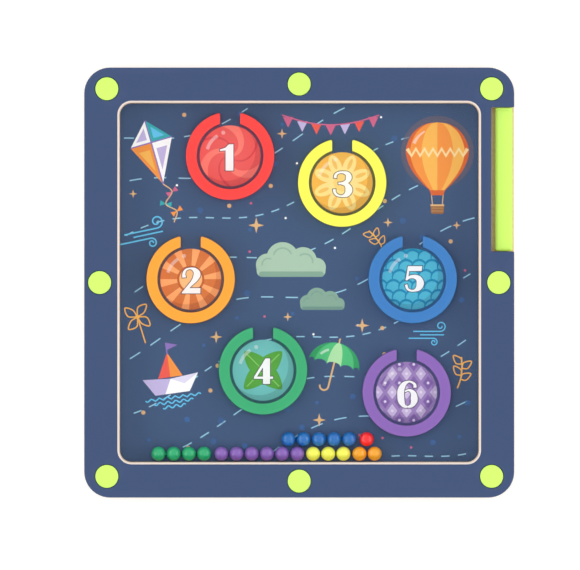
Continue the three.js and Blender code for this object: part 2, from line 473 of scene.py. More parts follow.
def coat_tone(made, colour, drift=0.03, gloss=GLOSS):
    """A paint's colour, which drifts by a few per cent."""
    share = made.noise(TONE_GRAIN)
    return made.mix(share, rgba(colour, 1 - drift, gloss), rgba(colour, 1 + drift, gloss))


def paint(name, colour):
    """A sprayed coat: a fine peel breaks up its gloss."""
    made = Finish(name)
    return made.set({
        "Base Color": coat_tone(made, colour),
        "Roughness": made.sheen(0.42),
        "Normal": made.peel(depth=0.01),
    })


def enamel(name, colour):
    """A baked coat on steel under a clear one."""
    made = Finish(name)
    return made.set({
        "Base Color": coat_tone(made, colour, drift=0.02, gloss=0.01),
        "Roughness": made.sheen(0.48, spread=0.06),
        "Specular IOR Level": 0.25,
        "Normal": made.peel(depth=0.002),
        "Coat Weight": 1.0,
        "Coat Roughness": 0.2,
    })


def ply_edge(made):
    """The colour of a cut edge of plywood: fibres along plies, dark and light in turn from the top down."""
    height = made.part(made.here(), "Z")
    light_ply = (height * (1 / (PLY * MM)) - TOP_FACE / PLY) % 2.0 > 1.0
    fibre = made.noise(grain=0.5, detail=3.0, stretch=(0.3, 0.3, 1))
    ply = made.mix(light_ply, rgba(EDGE_DARK), rgba(EDGE_LIGHT))
    return made.mix(0.5 * fibre, ply, rgba(EDGE_LIGHT, 1.05))


def bare_wood(name, face):
    """Sanded plywood: long grain on its faces, and plies on its edges."""
    made = Finish(name)
    upright = abs(made.part(made.normal(), "Z")) < 0.5
    streak = made.noise(grain=0.9, detail=4.0, stretch=(0.07, 1, 1))
    figure = made.noise(grain=9.0, stretch=(0.06, 1, 1))
    bands = abs((7.0 * figure) % 1.0 - 0.5) ** 1.5
    grain = 0.45 * streak + 0.9 * bands + 0.2 * figure
    dark = rgba((face[0], face[1] - 10, face[2] - 22), 0.86)
    face_tone = made.mix(grain, rgba(face, 1.06), dark)
    return made.set({
        "Base Color": made.mix(upright, face_tone, ply_edge(made)),
        "Roughness": 0.62 + 0.16 * streak,
        "Normal": made.bump(streak, depth=0.03),
    })


def painted_wood(name, colour):
    """Painted plywood, bare on the slant round the window, which was cut after the paint."""
    made = Finish(name)
    slanted = made.part(made.normal(), "Z") > 0.4
    here = made.here()
    cut = made.part(here, "Z") < (TOP_FACE - COAT_DEPTH) * MM
    reach = (CHAMBER / 2 + CHAMFER) * MM
    bare = slanted * cut * (abs(made.part(here, "X")) < reach) * (abs(made.part(here, "Y")) < reach)
    return made.set({
        "Base Color": made.mix(bare, coat_tone(made, colour), ply_edge(made)),
        "Roughness": made.sheen(0.45),
        "Normal": made.peel(depth=0.01),
    })


def printed(name):
    """Ink on a satin sheet: the ink's own colour with a faint mottle."""
    made = Finish(name)
    ink = made.node("ShaderNodeAttribute", output="Color", attribute_name="ink")
    mottle = made.mix(made.noise(grain=5.0, detail=4.0), rgba((250, 250, 250)), rgba((255, 255, 255)))
    return made.set({
        "Base Color": made.mix(1.0, ink, mottle, "MULTIPLY"),
        "Roughness": 0.5 + 0.08 * made.noise(grain=3.0),
        "Normal": made.peel(depth=0.004, grain=0.6),
    })


def moulded(name, colour):
    """Moulded plastic: an even colour, a fine spark-eroded texture, and faint flow marks along the part."""
    made = Finish(name)
    flow = made.noise(grain=8.0, detail=3.0, stretch=(1, 0.25, 1))
    return made.set({
        "Base Color": made.mix(flow, rgba(colour, 0.985, 0.005), rgba(colour, 1.01, 0.005)),
        "Roughness": 0.42 + 0.08 * flow,
        "Normal": made.peel(depth=0.006, grain=0.35),
    })


def clear_plastic(name):
    """A polished pane: what it doesn't let through is its mirror share, least for a straight look."""
    made = Finish(name)
    mirror = 0.12 * made.node("ShaderNodeFresnel", {"IOR": 1.3})
    return made.set({
        "Base Color": (0.93, 0.96, 1.0, 1.0),
        "Metallic": 1.0,
        "Roughness": 0.05 + 0.03 * made.noise(grain=40.0),
        "Alpha": mirror,
    })


def metal(name, colour, sheen):
    """Bright metal with short turned scratches in its gloss."""
    made = Finish(name)
    scratch = made.noise(grain=0.25, detail=3.0, stretch=(1, 1, 0.1))
    return made.set({
        "Base Color": made.mix(scratch, rgba(colour, 0.93), rgba(colour, 1.04)),
        "Metallic": 1.0,
        "Roughness": sheen + 0.12 * scratch,
        "Normal": made.bump(scratch, depth=0.004),
    })


RING_PAINTS = {
    "red": (252, 78, 75),
    "orange": (255, 171, 69),
    "yellow": (255, 255, 99),
    "green": (69, 172, 119),
    "blue": (70, 128, 193),
    "purple": (141, 106, 182),
}
BALL_PAINTS = {
    "red": (255, 36, 38),
    "orange": (255, 172, 34),
    "yellow": (255, 255, 90),
    "green": (32, 175, 113),
    "blue": (12, 109, 186),
    "purple": (137, 97, 184),
}
navy = painted_wood("navy_paint", (69, 84, 117))
pale_wood = bare_wood("pale_plywood", (255, 240, 228))
warm_wood = bare_wood("warm_plywood", (252, 230, 190))
print_finish = printed("printed_sheet")
pane = clear_plastic("clear_acrylic")
lime = moulded("lime_plastic", (210, 255, 109))
zinc = metal("zinc_plate", (196, 198, 204), 0.3)
nickel = metal("nickel_plate", (222, 220, 214), 0.14)
ring_paint = {key: paint(f"{key}_ring_paint", colour) for key, colour in RING_PAINTS.items()}
ball_paint = {key: enamel(f"{key}_ball_paint", colour) for key, colour in BALL_PAINTS.items()}


# The printed floor's colours

FIELD = (66, 86, 118)
WHITE = (255, 254, 255)
LILAC = (196, 184, 226)
VIOLET = (140, 116, 184)
TEAL = (64, 170, 176)
AMBER = (242, 150, 74)
RUST = (214, 104, 60)
GOLD = (247, 184, 92)
TAN = (222, 180, 128)
ROSE = (206, 104, 140)
CORAL = (236, 96, 84)
CYAN = (104, 196, 236)
DASH = (156, 206, 228)
CREAM = (252, 226, 170)
BARK = (150, 104, 70)
MIST = (170, 198, 176)
MIST_SHADE = (134, 168, 150)
LEAF = (84, 190, 124)
LEAF_DARK = (58, 158, 100)
LEAF_PALE = (176, 226, 170)
DUSK = (66, 104, 158)
INK_LINE = (70, 62, 74)
# Painted shade under each ring wall, one tone per ring, tinted as if by light bounced off that wall
WALL_SHADES = [(102, 76, 98), (96, 86, 94), (98, 98, 80), (62, 102, 112), (60, 102, 142), (86, 86, 128)]


# Printed shapes: (outline, colour) or (outline, colour, strength), in a motif's own place

def set_down(shapes, at, turn=0.0, size=1.0):
    """Shapes scaled, turned by an angle in degrees and moved to their place. A strength left out is 1."""
    angle = math.radians(turn)
    spin = np.array([[math.cos(angle), math.sin(angle)], [-math.sin(angle), math.cos(angle)]])
    return [(np.asarray(loop) @ spin * size + at, colour, *(strength or [1.0]))
            for loop, colour, *strength in shapes]


def gores(halves, heights, shares, colours):
    """Panels side by side, each between two fixed shares of the half width, from the top down."""
    edges = [np.column_stack([share * halves, heights]) for share in shares]
    pairs = zip(edges, edges[1:], colours)
    return [(np.concatenate([left, right[::-1]]), colour) for left, right, colour in pairs]


def kite():
    """Four panels with a smaller one in each, two spars, and a tail with three bows."""
    top, right, low, left, middle = np.array([(0, 21), (15, 5), (0, -25), (-15, 5), (0, 5)], float)
    panels = [((top, left, middle), WHITE, LILAC), ((top, middle, right), TEAL, CYAN),
              ((left, low, middle), AMBER, GOLD), ((middle, low, right), WHITE, LILAC)]
    tail = curve([(0, -25), (4.5, -32), (-2, -39), (4, -46), (0, -53)])
    made = [(stroke(tail, 0.8), TAN)]
    for at, turn, colour in ((8, 20, ROSE), (16, -25, TEAL), (24, 20, AMBER)):
        bow = [([(0, 0), (side, 2), (side, -2)], colour) for side in (4, -4)]
        made += set_down(bow, tail[at], turn)
    for corners, outer, inner in panels:
        corners = np.array(corners)
        centre = corners.mean(axis=0)
        made.append((corners, outer))
        made.append((centre + 0.52 * (corners - centre), inner))
    return made + [(stroke(spar, 0.9), VIOLET) for spar in ([top, low], [left, right])]


def balloon():
    """Six gores under a crown, a zigzag band, a skirt, ropes and a basket."""
    side = curve([(0.1, 24), (9, 22.4), (17, 16.5), (21.6, 7), (21.4, -1), (17.5, -10), (11, -18),
                  (5.5, -23.5)])
    shares = np.sin(np.radians(np.arange(-90, 91, 30)))
    made = [(disc((0, 3), 25.5), (100, 94, 108), 0.75)]
    made += [(stroke([(x, -26), (0.8 * x, -34)], 0.6), TAN) for x in (-4.2, 4.2)]
    made.append((rounded([(-4.4, -40), (4.4, -40), (4.8, -33.5), (-4.8, -33.5)], 1.2), BARK))
    made.append((stroke([(-4.8, -34), (4.8, -34)], 1.2), TAN))
    made += [(stroke([(-4.2, y), (4.2, y)], 0.4), TAN, 0.6) for y in (-36, -38)]
    made.append(([(-5.5, -23.5), (5.5, -23.5), (4.2, -27), (-4.2, -27)], RUST))
    made += gores(side[:, 0], side[:, 1], shares, [RUST, AMBER, GOLD, AMBER, GOLD, RUST])
    zigzag = np.column_stack([np.linspace(-21, 21, 15), np.tile([5.5, 0.5], 8)[:15]])
    made.append((stroke(zigzag, 2.6), CREAM, 0.85))
    made.append((stroke(arc((-1, 3), 16.5, 118, 158, 12), np.linspace(1, 2.4, 12)), WHITE, 0.35))
    return made


def cloud(colour, shade):
    """Puffs over a flat base, with a darker underside and three curls."""
    puffs = [((-13, 0.2), 6.4), ((-4.5, 4), 9.0), ((7, 2.6), 7.6), ((14.5, -1), 5.2)]
    made = [(disc(at, radius), colour) for at, radius in puffs]
    made.append((rounded([(-19, -6.4), (19.5, -6.4), (19.5, 0.5), (-19, 0.5)], 3.2), colour))
    made.append((rounded([(-18.5, -6.4), (19.2, -6.4), (18, -3.4), (-17, -3.4)], 1.3), shade))
    curls = [(arc((-4.5, 4.5), 5.2, 20, 165, 9), 1.0), (arc((8, 2), 4.4, -10, 130, 9), 1.0),
             (arc((-12.5, 0.5), 3.4, 60, 190, 8), 0.9)]
    return made + [(line(curl, width), shade, 0.6) for curl, width in curls]


def umbrella():
    """A dome of five gores with a scallop under each, on a stick with a hook."""
    turn = np.radians(np.linspace(2, 90, 16))
    halves, heights = 19 * np.sin(turn), 17 * np.cos(turn)
    shares = np.sin(np.radians([-90, -50, -16, 16, 50, 90]))
    hook = [(0, 3), (0, -6), (0, -14), *arc((-3.2, -16), 3.2, 0, -180, 9)]
    made = [(line(hook, 1.3), TAN), (stroke([(0, 16), (0, 20.5)], 1.1), TAN)]
    for left, right, colour in zip(shares, shares[1:], [LEAF_DARK, LEAF, LEAF_PALE, LEAF, LEAF_DARK]):
        scallop = arc((19 * (left + right) / 2, 0), (19 * (right - left) / 2, 2.6), 180, 0, 9)
        first, last = (np.column_stack([share * halves, heights]) for share in (left, right))
        made.append((np.concatenate([first, scallop[1:-1], last[::-1]]), colour))
    return made + [(stroke(arc((0, 0), (13, 12), 118, 150, 9), 1.8), WHITE, 0.4)]


def paper_boat():
    """A folded hull and peak, a pennant, and three ripples."""
    made = [
        ([(-7.5, 0), (0, 15), (7.5, 0)], CORAL),
        ([(0, 0), (0, 15), (7.5, 0)], AMBER),
        ([(-17, 0.5), (0, -1), (17, 0.5), (10.5, -10), (-10.5, -10)], WHITE),
        ([(-17, 0.5), (0, -1), (-4.5, -10), (-10.5, -10)], LILAC),
        ([(17, 0.5), (0, -1), (8, -5)], (226, 220, 242)),
        (stroke([(0, 14), (0, 21)], 0.8), VIOLET),
        ([(0.3, 21), (7, 18.8), (0.3, 16.6)], VIOLET),
    ]
    for row, reach in ((-12.5, 17), (-15.2, 12), (-17.9, 7)):
        along = np.linspace(-reach, reach, 29)
        wave = np.column_stack([along, row + 0.8 * np.sin(along * 1.3)])
        made.append((stroke(wave, 0.8), CYAN))
    return made


def bunting():
    """A sagging line with seven pennants."""
    cord = curve([(-34, 3), (-17, -2), (0, -3.8), (17, -2), (34, 3)], 12)
    pennant = np.array([(-3.6, 0), (3.6, 0), (0, -7.4)])
    made = [(middle + pennant, (ROSE, LILAC, CORAL)[place % 3])
            for place, middle in enumerate(cord[3:48:7])]
    return made + [(stroke(cord, 0.9), ROSE)]


def gust():
    """Three strokes of wind, two of them ending in a spiral whose radius shrinks evenly with its turn."""
    made = []
    turn = np.linspace(0, 1, 26)
    for start, end, height, spiral in ((-18, 6, 3, 4.6), (-22, 0, -3, -3.4), (-12, 9, 0, 0)):
        angle = np.radians(math.copysign(1, spiral) * (turn * 470 - 90))
        radius = abs(spiral) * (1 - 0.78 * turn)
        coil = (end, height + spiral) + radius[:, None] * np.column_stack([np.cos(angle), np.sin(angle)])
        path = [(start, height), ((start + end) / 2, height), *(coil if spiral else [(end, height)])]
        made.append((stroke(path, 1.0), CYAN))
    return made


def pinwheel():
    """Four bent vanes in outline round a hub, on a stick."""
    vane = line([(0, 0), (1.5, 6.5), (7.5, 7.5), (5.2, 2.4), (0, 0)], 0.9)
    made = [(stroke([(0, 0), (2.4, -19)], 0.9), GOLD)]
    for turn in (0, 90, 180, 270):
        made += set_down([(vane, GOLD)], (0, 0), turn)
    return made + [(disc((0, 0), 1.5, 16), GOLD)]


def sprig():
    """A bent stem with four leaves in outline."""
    leaf = line([(0, 0), (2.2, 3), (0, 7.5), (-2.2, 3), (0, 0)], 0.8, 6)
    made = [(line([(0, -11), (0.8, -4), (0, 3), (-1.6, 9)], 0.9), GOLD)]
    for at, turn in (((0.7, -5), -50), ((0.6, -2.5), 50), ((0.2, 2), -42), ((-0.6, 4.5), 55)):
        made += set_down([(leaf, GOLD)], at, turn)
    return made


def sparkle(reach):
    """A star of four points."""
    turn = np.radians(np.arange(8) * 45 + 90)
    radius = np.where(np.arange(8) % 2 == 0, reach, 0.3 * reach)
    return [(np.column_stack([np.cos(turn), np.sin(turn)]) * radius[:, None], TAN)]


# The picture inside each ring, painted shade round the foot of its wall, and the shade and glints printed
# over the picture

DISC = 21.3
# Painted shade band under each ring wall, from just outside the wall inwards to the picture
WALL_SHADE_INNER = 21.0
WALL_SHADE_OUTER = 31.2
OVER_PICTURE = [
    (stroke(arc((-3.2, 3.4), DISC + 4.6, 0, 360, 72), 10.0), (40, 30, 60), 0.22),
    (stroke(arc((0, 0), 16.6, 122, 164, 10), 2.3), WHITE, 0.34),
    (disc((-4.8, 16.2), 1.4, 16), WHITE, 0.34),
]


def whirl():
    """Three broad bands and three thin ones, each turning by 100 degrees on its way out."""
    made = [(disc((0, 0), DISC), (235, 104, 101))]
    radius = np.linspace(0.5, 24, 18)
    for start, colour, width in ((0, (253, 140, 126), 5.4), (60, (216, 82, 90), 1.6)):
        for turn in start + np.arange(3) * 120:
            angle = np.radians(turn + 100 * radius / 24)
            path = np.column_stack([radius * np.cos(angle), radius * np.sin(angle)])
            made.append((stroke(path, width * (0.25 + radius / 24)), colour, 0.9))
    return made


def sunburst():
    """Ten wedges round a disc with a rim."""
    made = [(disc((0, 0), DISC), (214, 128, 74))]
    for turn in range(0, 360, 36):
        made.append(([(0, 0), *arc((0, 0), 26, turn, turn + 15, 4)], (253, 180, 120)))
    return made + [(disc((0, 0), 9.5), (196, 104, 60)), (disc((0, 0), 8), (252, 196, 136))]


def petals():
    """Eight petals round a disc."""
    made = [(disc((0, 0), DISC), (242, 185, 92))]
    petal = [(disc((12.5, 0), (8, 4.3), 28), (253, 226, 154)),
             (disc((14, 0), (4, 1.3), 18), (244, 196, 110))]
    for turn in range(0, 360, 45):
        made += set_down(petal, (0, 0), turn + 22)
    return made + [(disc((0, 0), 6), (250, 212, 132))]


def leaves():
    """Four leaves, each with a vein."""
    made = [(disc((0, 0), DISC), (120, 198, 198))]
    leaf = curve([(0, 0), (6.5, 6.5), (18.5, 0), (6.5, -6.5)], 8, closed=True)
    vein = ribbon([(2, 0, 0.5), (16, 0, 0.9)])
    for turn in range(0, 360, 90):
        made += set_down([(leaf, (92, 166, 70)), (vein, (140, 204, 110))], (0, 0), turn + 45)
    return made


def scales():
    """Rows of scales, every other row set off by half a scale."""
    made = [(disc((0, 0), DISC), (54, 164, 198))]
    for row in range(6):
        for column in range(-3, 4):
            at = (column * 9.0 + (row % 2) * 4.5, 15.5 - row * 7.0)
            made.append((disc(at, 5.6, 28), (44, 142, 182)))
            made.append((disc((at[0], at[1] - 0.9), 4.8, 28), (90, 192, 216)))
    return made


def diamonds():
    """Diamonds in two tones, each with a dot."""
    made = [(disc((0, 0), DISC), (164, 138, 193))]
    rhomb = np.array([(0, 4.9), (-3.6, 0), (0, -4.9), (3.6, 0)])
    for x in range(-2, 3):
        for y in range(-2, 3):
            for shift, tone in ((0.0, (212, 196, 228)), (0.5, (138, 108, 174))):
                at = np.array([(x + shift) * 10.0, (y + shift) * 13.0])
                made.append((rhomb + at, tone))
                made.append((disc(at, 1.0, 12), (236, 224, 246)))
    return made


# Numbers: the middle's place in its ring, then strokes, rows of (x, y, width), and blocks, rows of (x, y)

NUMBERS = {
    "1": ((-2.5, -1.1), [
        [(1.6, 9.2), (-0.9, 6.8), (-4.6, 5.6), (-4.6, 4.5), (-0.7, 4.9), (-0.7, -9.2), (4.8, -9.2),
         (4.8, 9.2)],
    ]),
    "2": ((0.2, -1.0), [
        [(-4.8, 2.1, 2.6), (-5.0, 4.9, 2.2), (-3.5, 7.6, 1.5), (-0.3, 8.5, 1.3), (2.7, 7.3, 3.3),
         (4.2, 4.5, 4.9), (3.0, 1.3, 4.0), (1.1, -1.2, 2.9), (-1.3, -3.8, 2.3), (-4.2, -6.9, 1.8),
         (-5.9, -8.5, 1.2)],
        [(-6.6, -9.0), (6.5, -9.0), (6.6, -5.2), (-2.2, -5.2), (-6.6, -8.4)],
    ]),
    "3": ((0.5, -1.1), [
        [(-5.4, 4.3, 2.2), (-5.0, 6.6, 1.8), (-2.7, 8.2, 1.4), (0.6, 8.3, 1.7), (3.2, 7.2, 3.3),
         (4.1, 4.8, 4.3), (2.9, 2.1, 3.0), (-0.4, 0.8, 1.5), (-3.2, 0.6, 1.4)],
        [(-1.5, 0.7, 1.4), (2.2, -0.1, 3.0), (4.2, -3.6, 5.0), (2.8, -6.9, 3.7), (-0.6, -8.3, 1.4),
         (-4.0, -7.5, 1.6), (-5.7, -5.6, 1.9), (-6.0, -3.4, 2.0)],
    ]),
    "4": ((0.3, -0.7), [
        [(-0.4, -8.9), (4.6, -8.9), (4.6, 9.0), (1.4, 9.0), (-0.4, 6.2)],
        [(2.1, 8.1, 1.8), (-2.0, 1.8, 1.8), (-5.8, -4.2, 1.8)],
        [(-6.8, -5.3), (6.5, -5.3), (6.8, -4.9), (6.8, -4.1), (6.5, -3.7), (-6.6, -3.7)],
    ]),
    "5": ((1.2, 0.1), [
        [(-4.5, 8.9), (-6.2, -1.0), (-4.7, -1.1), (-4.2, 1.0), (-3.6, 5.4), (5.1, 5.5), (5.5, 8.9)],
        [(-5.5, -0.6, 1.1), (-2.9, 1.3, 2.0), (0.6, 1.4, 2.9), (3.1, -0.1, 4.2), (4.1, -3.1, 5.2),
         (2.9, -6.3, 4.0), (0.2, -8.1, 1.7), (-2.5, -8.2, 1.4), (-4.8, -6.9, 1.7), (-5.8, -4.0, 1.9)],
    ]),
    "6": ((0.7, -1.4), [
        [(5.2, 4.6, 2.3), (5.0, 6.8, 2.0), (3.0, 8.4, 1.5), (0.5, 8.8, 1.5), (-2.6, 6.9, 3.4),
         (-4.6, 3.0, 4.6), (-4.8, -1.0, 4.8), (-4.3, -5.0, 4.5), (-2.6, -8.0, 2.6), (0.0, -8.9, 1.3)],
        [(0.0, -8.9, 1.3), (2.8, -7.9, 2.6), (4.4, -5.2, 4.4), (4.6, -2.8, 4.9), (4.2, 0.2, 4.0),
         (2.6, 2.3, 2.4), (0.3, 2.9, 1.3), (-1.9, 1.8, 1.1)],
    ]),
}
NUMBER_LINE = 0.5


def number(digit):
    """A bold number with its middle at its place: its forms widened in a dark line, then in white."""
    place, forms = NUMBERS[digit]
    made = []
    for grow, colour in ((NUMBER_LINE, INK_LINE), (0.0, WHITE)):
        for form in forms:
            form = np.array(form, float)
            if form.shape[1] == 3:
                loop = ribbon(curve(form, 6), grow)
            else:
                loop = moved_in(form if turns_left(form) else form[::-1], -grow)
            made.append((loop, colour))
    return set_down(made, place)


def turns_left(loop):
    """True for an anticlockwise loop: the sum of the cross products of neighbouring points is positive."""
    after = np.roll(loop, -1, axis=0)
    return (loop[:, 0] * after[:, 1] - loop[:, 1] * after[:, 0]).sum() > 0


# The whole print

KEEP_IN = 122.5
DASH_LENGTHS = (5.8, 8.6, 7.0)
DASH_WIDTH = 0.85
WIND_STEP = 36
WIND_LEAN = 0.34
WIND_SWELL = 10
WIND_LENGTH = 27


def wind_lines():
    """Dashes along leaning sine waves, each as long as the gap after it."""
    made = []
    along = np.linspace(-150, 150, 600)
    for row, start in enumerate(range(-150, 190, WIND_STEP)):
        height = start + WIND_LEAN * along + WIND_SWELL * np.sin(along / WIND_LENGTH + 0.9 * row)
        way = np.concatenate([[0], np.cumsum(np.hypot(np.diff(along), np.diff(height)))])
        length = DASH_LENGTHS[row % 3]
        starts = np.arange(0, way[-1] - length, 2 * length)
        stops = starts[:, None] + np.linspace(0, length, 4)
        x, y = np.interp(stops, way, along), np.interp(stops, way, height)
        kept = (np.maximum(abs(x), abs(y)) < KEEP_IN).all(axis=1)
        made += [(stroke(path, DASH_WIDTH), DASH, 0.95) for path in np.stack([x, y], axis=-1)[kept]]
    return made


# What the dots keep off, the kinds of dots, and the sparkles
MOTIF_PLACES = [(-101, 96, 21), (-110, 58, 14), (96, 92, 24), (96, 64, 20), (-6, 12, 25), (16, -14, 17),
                (24, -58, 20), (-90, -66, 22), (10, 112, 14), (34, 112, 14), (-104, 34, 18), (94, -36, 16),
                (-112, -28, 13), (113, -62, 12), (54, 30, 10)]
RING_REACH = 22
DOT_MARGIN = 4
DOT_SPACING = 15
DOT_FIELD = 118
DOTS = [(DUSK, 2.0, 0.8), (TAN, 1.5, 0.9), (WHITE, 0.8, 1.0), (DUSK, 1.4, 0.7), (ROSE, 0.9, 0.9),
        (DUSK, 2.3, 0.5)]
SPARKLES = [((-12, 104), 3.6), ((-30, 40), 5.5), ((62, 42), 3.4), ((-58, -38), 4.4), ((14, -96), 4.6),
            ((110, 40), 3.0), ((-8, -24), 3.2), ((44, -30), 5.0), ((-116, 62), 3.0)]


def scattered():
    """Dots at seeded places, none near another or on a picture."""
    draw = np.random.default_rng(11)
    taken = np.array([(*centre, RING_REACH) for centre in RINGS.values()] + MOTIF_PLACES)
    kept = np.zeros((0, 2))
    for place in draw.uniform(-DOT_FIELD, DOT_FIELD, (500, 2)):
        clear = (np.hypot(*(taken[:, :2] - place).T) > taken[:, 2] + DOT_MARGIN).all()
        if clear and (np.hypot(*(kept - place).T) > DOT_SPACING).all():
            kept = np.concatenate([kept, place[None]])
    made = []
    for k, place in enumerate(kept):
        colour, radius, strength = DOTS[k % len(DOTS)]
        made.append((disc(place, radius, 16), colour, strength))
    return made


def print_layers():
    """Every printed shape from the lowest up, as (outline, colour, strength, mask)."""
    made = wind_lines() + scattered()
    for shapes, *place in (
        (kite(), (-102, 93), 16),
        (balloon(), (96.5, 88)),
        (cloud(MIST_SHADE, (112, 146, 136)), (16, -14), 0, 0.8),
        (cloud(MIST, MIST_SHADE), (-6, 12), 0, 1.25),
        (umbrella(), (24, -58), -14, 0.95),
        (paper_boat(), (-90, -66), 8, 1.15),
        (bunting(), (22, 114)),
        (gust(), (-104, 34), 12),
        (gust(), (94, -36.5), 0, 0.8),
        (pinwheel(), (-113, -24), 10),
        (sprig(), (113, -62), -12, 1.1),
        (sprig(), (54, 30), 30, 0.9),
    ):
        made += set_down(shapes, *place)
    for at, reach in SPARKLES:
        made += set_down(sparkle(reach), at)
    layers = [(*shape, None) for shape in made]
    pictures = (whirl, sunburst, petals, leaves, scales, diamonds)
    for centre, picture, digit, foot in zip(RINGS.values(), pictures, NUMBERS, WALL_SHADES):
        face = disc(centre, DISC, 96)
        # Painted shade under the ring's wall: it shows as a dark band round the picture and a thin dark
        # line outside the wall
        layers.append((ring_outline(WALL_SHADE_OUTER, WALL_SHADE_INNER) + centre, foot, 1.0, None))
        layers += [(*shape, face) for shape in set_down(picture() + OVER_PICTURE, centre)]
        layers += [(*shape, None) for shape in set_down(number(digit), centre)]
    return layers


def goes_round(loop, points):
    """True where a loop goes round a point.

    An edge that passes the point's height upwards with the point on its left counts 1, one that passes it
    downwards with the point on its right counts -1, and the sum isn't 0.
    """
    inside = np.zeros(len(points), bool)
    near = ((points > loop.min(axis=0)) & (points < loop.max(axis=0))).all(axis=1)
    x, y = points[near, :1], points[near, 1:]
    here, there = loop, np.roll(loop, -1, axis=0)
    side = (there[:, 0] - here[:, 0]) * (y - here[:, 1]) - (x - here[:, 0]) * (there[:, 1] - here[:, 1])
    upward = (here[:, 1] <= y) & (there[:, 1] > y) & (side > 0)
    downward = (here[:, 1] > y) & (there[:, 1] <= y) & (side < 0)
    inside[near] = upward.sum(axis=1) != downward.sum(axis=1)
    return inside


def printed_floor():
    """The play sheet: its top is cut along every printed shape, and each part takes the ink laid on it."""
    layers = print_layers()
    rim = (square(CHAMBER - 2 * FIT, CHAMBER_CORNER - FIT), [(0.0, SHEET_TOP), (0.0, BASE_TOP)])
    points, quads, triangles = plate([rim], [layer[0] for layer in layers])
    middles = points[triangles].mean(axis=1)
    colours = np.tile(light_of(FIELD), (len(middles), 1))
    for loop, colour, strength, mask in layers:
        covered = goes_round(loop, middles[:, :2])
        if mask is not None:
            covered &= goes_round(mask, middles[:, :2])
        colours[covered] += strength * (light_of(colour) - colours[covered])
    colours[middles[:, 2] < (BASE_TOP + SHEET_TOP) / 2] = light_of(WHITE)
    # Each ink less its gloss, lifted by INK_LEVEL as painted light against the chamber's shade
    faces = np.clip((colours - INK_GLOSS) * INK_LEVEL, 0, 1)
    inks = np.concatenate([np.tile(light_of(WHITE), (len(quads), 1)), faces])
    inks = np.column_stack([inks, np.ones(len(inks))])
    shape = points, quads, triangles
    piece("printed_floor", shape, print_finish, "play_sheet", inks=inks)


# Layers of the board

def notched():
    """The board's outline with the pen's slot cut in from the right."""
    half = BOARD / 2
    corners = [(-half, -half), (half, -half), (half, SLOT_BOTTOM), (SLOT_LEFT, SLOT_BOTTOM),
               (SLOT_LEFT, SLOT_TOP), (half, SLOT_TOP), (half, half), (-half, half)]
    radii = [BOARD_CORNER] * 2 + [SLOT_CORNER] * 4 + [BOARD_CORNER] * 2
    return rounded(corners, radii, 12)


def below_top(rows):
    """A profile's rows of (inset, depth) as (inset, height), from the top face down."""
    return [(inset, TOP_FACE - depth) for inset, depth in rows]


def board_layers():
    """The back, the side frame, the window frame and the cover."""
    back = [(square(BOARD, BOARD_CORNER, 12), eased(BASE_TOP, 0.0, SANDED))]
    piece("back_board", plate(back), warm_wood, "base_board")
    opening = square(CHAMBER, CHAMBER_CORNER)[::-1]
    chamber = [(REBATE, COVER_TOP), (REBATE, COVER_BOTTOM), (REBATE_EASE, COVER_BOTTOM),
               (0.0, COVER_BOTTOM - REBATE_EASE), (0.0, BASE_TOP)]
    hole = [(0.0, COVER_TOP), (0.0, BASE_TOP)]
    sides = [(notched(), eased(COVER_TOP, BASE_TOP, SANDED)), (opening, chamber)]
    sides += [(disc(at, HOLE_RADIUS, 16)[::-1], hole) for at in CAPS.values()]
    piece("side_frame", plate(sides), pale_wood, "spacer_frame")
    step = HOLE_RADIUS - SEAT_RADIUS
    seat = below_top(SEAT_EDGE) + [(0.0, CAP_SEAT), (step, CAP_SEAT), (step, COVER_TOP)]
    window = below_top(SLANT) + [(0.0, COVER_TOP)]
    face = [(notched(), eased(TOP_FACE, COVER_TOP, ROUTED)), (opening, window)]
    face += [(disc(at, SEAT_RADIUS, 40)[::-1], seat) for at in CAPS.values()]
    piece("window_frame", plate(face), navy, "top_frame")
    sheet = square(CHAMBER + 2 * REBATE - 2 * FIT, CHAMBER_CORNER + REBATE - FIT)
    cover = [(sheet, eased(COVER_TOP - PANE_PLAY, COVER_BOTTOM + PANE_PLAY, PANE_EASE))]
    piece("cover_pane", plate(cover), pane, "clear_cover")


def ring_outline(outer=RING_OUTER, inner=RING_INNER):
    """A ring wall's outline: outer arc, jaw, inner arc, jaw. A jaw loses its steps at the arcs' ends."""
    half = MOUTH / 2
    outer_turn, inner_turn = math.degrees(math.acos(half / outer)), math.degrees(math.acos(half / inner))
    outer_edge, inner_edge = math.sqrt(outer**2 - half**2), math.sqrt(inner**2 - half**2)
    big = arc((0, 0), outer, 180 - outer_turn + JAW_TURN, 360 + outer_turn - JAW_TURN, 96)
    small = arc((0, 0), inner, 360 + inner_turn - JAW_TURN, 180 - inner_turn + JAW_TURN, 80)
    radii = np.array([0.0, JAW_OUTER, JAW_INNER, 0.0])
    right = rounded([big[-1], (half, outer_edge), (half, inner_edge), small[0]], radii, JAW_STEPS)
    left = rounded([small[-1], (-half, inner_edge), (-half, outer_edge), big[0]], radii[::-1], JAW_STEPS)
    return np.concatenate([big, right[JAW_STEPS:-JAW_STEPS], small, left[JAW_STEPS:-JAW_STEPS]])


def rings():
    """Each wall is a plate with its upper edges rounded."""
    outline = ring_outline()
    for name, centre in RINGS.items():
        colour = name.split("_")[-1]
        wall = plate([(outline + centre, eased(RING_TOP, SHEET_TOP, RING_EASE, lower=False))])
        piece(f"wall_of_{name}", wall, ring_paint[colour], name)


def balls():
    """Each ball's profile is a half circle from pole to pole."""
    turn = np.linspace(-math.pi / 2, math.pi / 2, 25)
    profile = np.column_stack([BALL_RADIUS * np.cos(turn), BALL_RADIUS * np.sin(turn)])
    for colour, (count, first, row) in BALLS.items():
        for k in range(count):
            name = f"{colour}_{k + 1}"
            shape = spun(profile, (first + k * BALL_PITCH, row, BALL_MIDDLE), 48)
            piece(f"coated_ball_{name}", shape, ball_paint[colour], f"ball_{name}", name)


